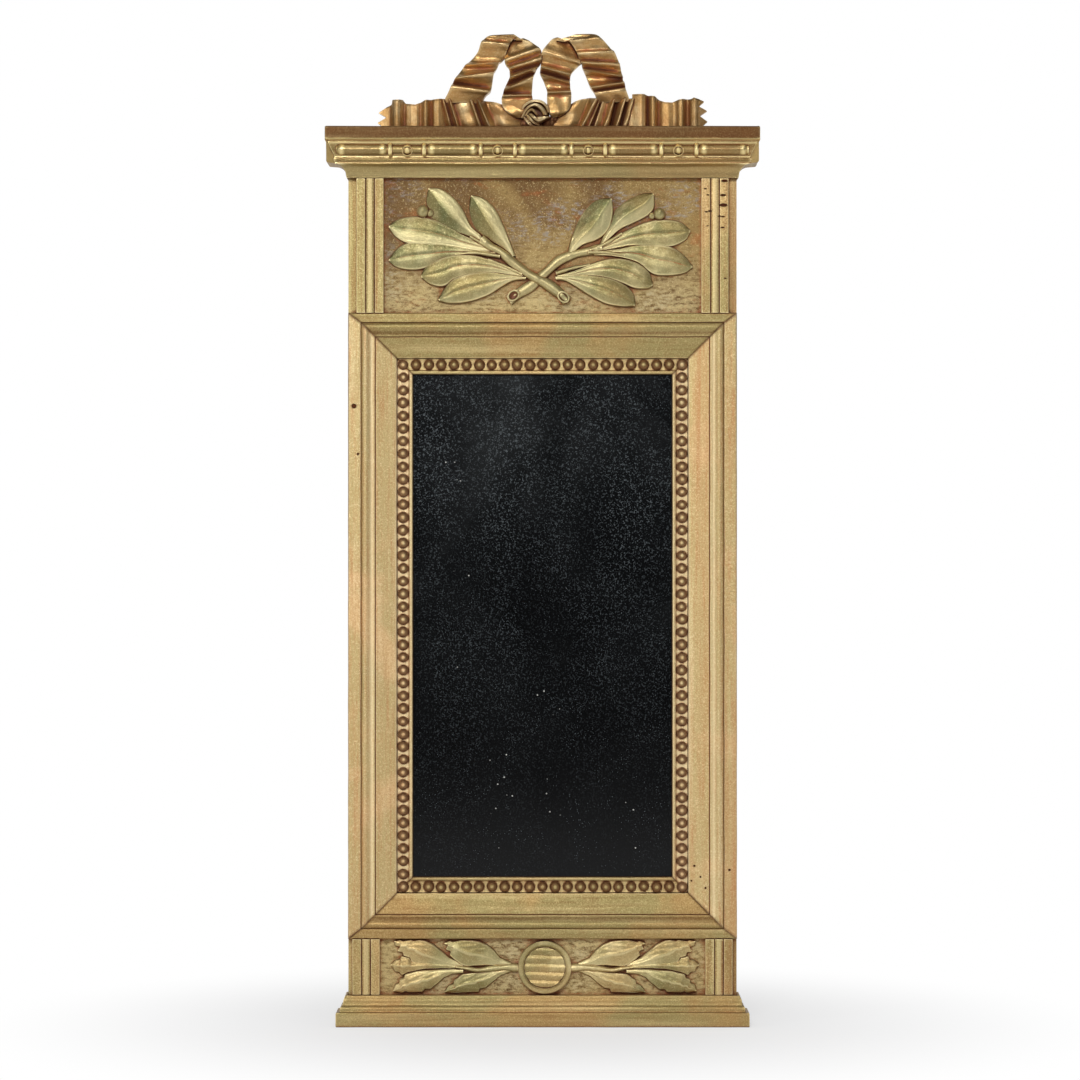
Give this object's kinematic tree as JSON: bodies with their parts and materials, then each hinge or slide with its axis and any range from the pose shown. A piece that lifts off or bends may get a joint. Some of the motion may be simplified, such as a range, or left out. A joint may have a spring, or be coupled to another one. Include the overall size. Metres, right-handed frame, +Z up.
{
  "type": "pier mirror",
  "caption": "Tall carved and gilded pier mirror with beaded frame, laurel frieze, moulded cornice and plinth, and a ribbon bow crest, hung by hinged rings.",
  "frame": {"origin": "on the plane of the carcass back, midway between the hinge axes of the two hanging rings", "axes": "+Z up, +Y out of the back towards the wall, -Y out of the front, +X to the viewer's right"},
  "size_m": [0.433, 0.059, 0.9933],
  "materials": {
    "gilding": "worn water gilding over orange-red bole on carved wood",
    "worn_ground": "rubbed gilding with grey and brown patches",
    "bare_pine": "old unfinished pine",
    "old_mirror": "dark foxed tin-mercury mirror",
    "dark_iron": "dull dark iron"
  },
  "bodies": {
    "root": {"backboard_left": "bare_pine", "backboard_nail_left_1": "dark_iron", "backboard_nail_left_2": "dark_iron", "backboard_nail_right_1": "dark_iron", "backboard_nail_right_2": "dark_iron", "backboard_right": "bare_pine", "base_panel": "worn_ground", "base_pilaster_left": "gilding", "base_pilaster_right": "gilding", "bead_and_reel": "gilding", "beaded_slip_bottom": "gilding", "beaded_slip_left": "gilding", "beaded_slip_right": "gilding", "beaded_slip_top": "gilding", "bottom_rail": "bare_pine", "bow_knot": "gilding", "cornice_front": "gilding", "cornice_return_left": "gilding", "cornice_return_right": "gilding", "cornice_top_board": "gilding", "crest_glue_block_left": "bare_pine", "crest_glue_block_middle": "bare_pine", "crest_glue_block_right": "bare_pine", "frame_moulding_bottom": "gilding", "frame_moulding_left": "gilding", "frame_moulding_right": "gilding", "frame_moulding_top": "gilding", "frieze_panel": "worn_ground", "frieze_pilaster_left": "gilding", "frieze_pilaster_right": "gilding", "frieze_rail": "bare_pine", "glazing_block_lower_left": "bare_pine", "glazing_block_lower_right": "bare_pine", "glazing_block_upper_left": "bare_pine", "glazing_block_upper_right": "bare_pine", "hanger_screw_left_1": "dark_iron", "hanger_screw_left_2": "dark_iron", "hanger_screw_right_1": "dark_iron", "hanger_screw_right_2": "dark_iron", "hanger_strap_left": "dark_iron", "hanger_strap_right": "dark_iron", "laurel_branch_left": "gilding", "laurel_branch_right": "gilding", "leaf_spray_left": "gilding", "leaf_spray_right": "gilding", "lower_rail": "bare_pine", "medallion": "gilding", "mirror_glass": "old_mirror", "plinth_front": "gilding", "plinth_return_left": "gilding", "plinth_return_right": "gilding", "ribbon_bow": "gilding", "ribbon_tail_left": "gilding", "ribbon_tail_right": "gilding", "stile_left": "gilding", "stile_right": "gilding", "top_rail": "bare_pine"},
    "ring_left": {"hanger_ring_left": "dark_iron"},
    "ring_right": {"hanger_ring_right": "dark_iron"}
  },
  "joints": [
    {"name": "ring_left_swing", "type": "hinge", "parent": "root", "child": "ring_left", "pos_m": [-0.1705, 0.0036, 0], "axis": [1, 0, 0], "range_deg": [0, 180]},
    {"name": "ring_right_swing", "type": "hinge", "parent": "root", "child": "ring_right", "pos_m": [0.1705, 0.0036, 0], "axis": [1, 0, 0], "range_deg": [0, 180]}
  ]
}
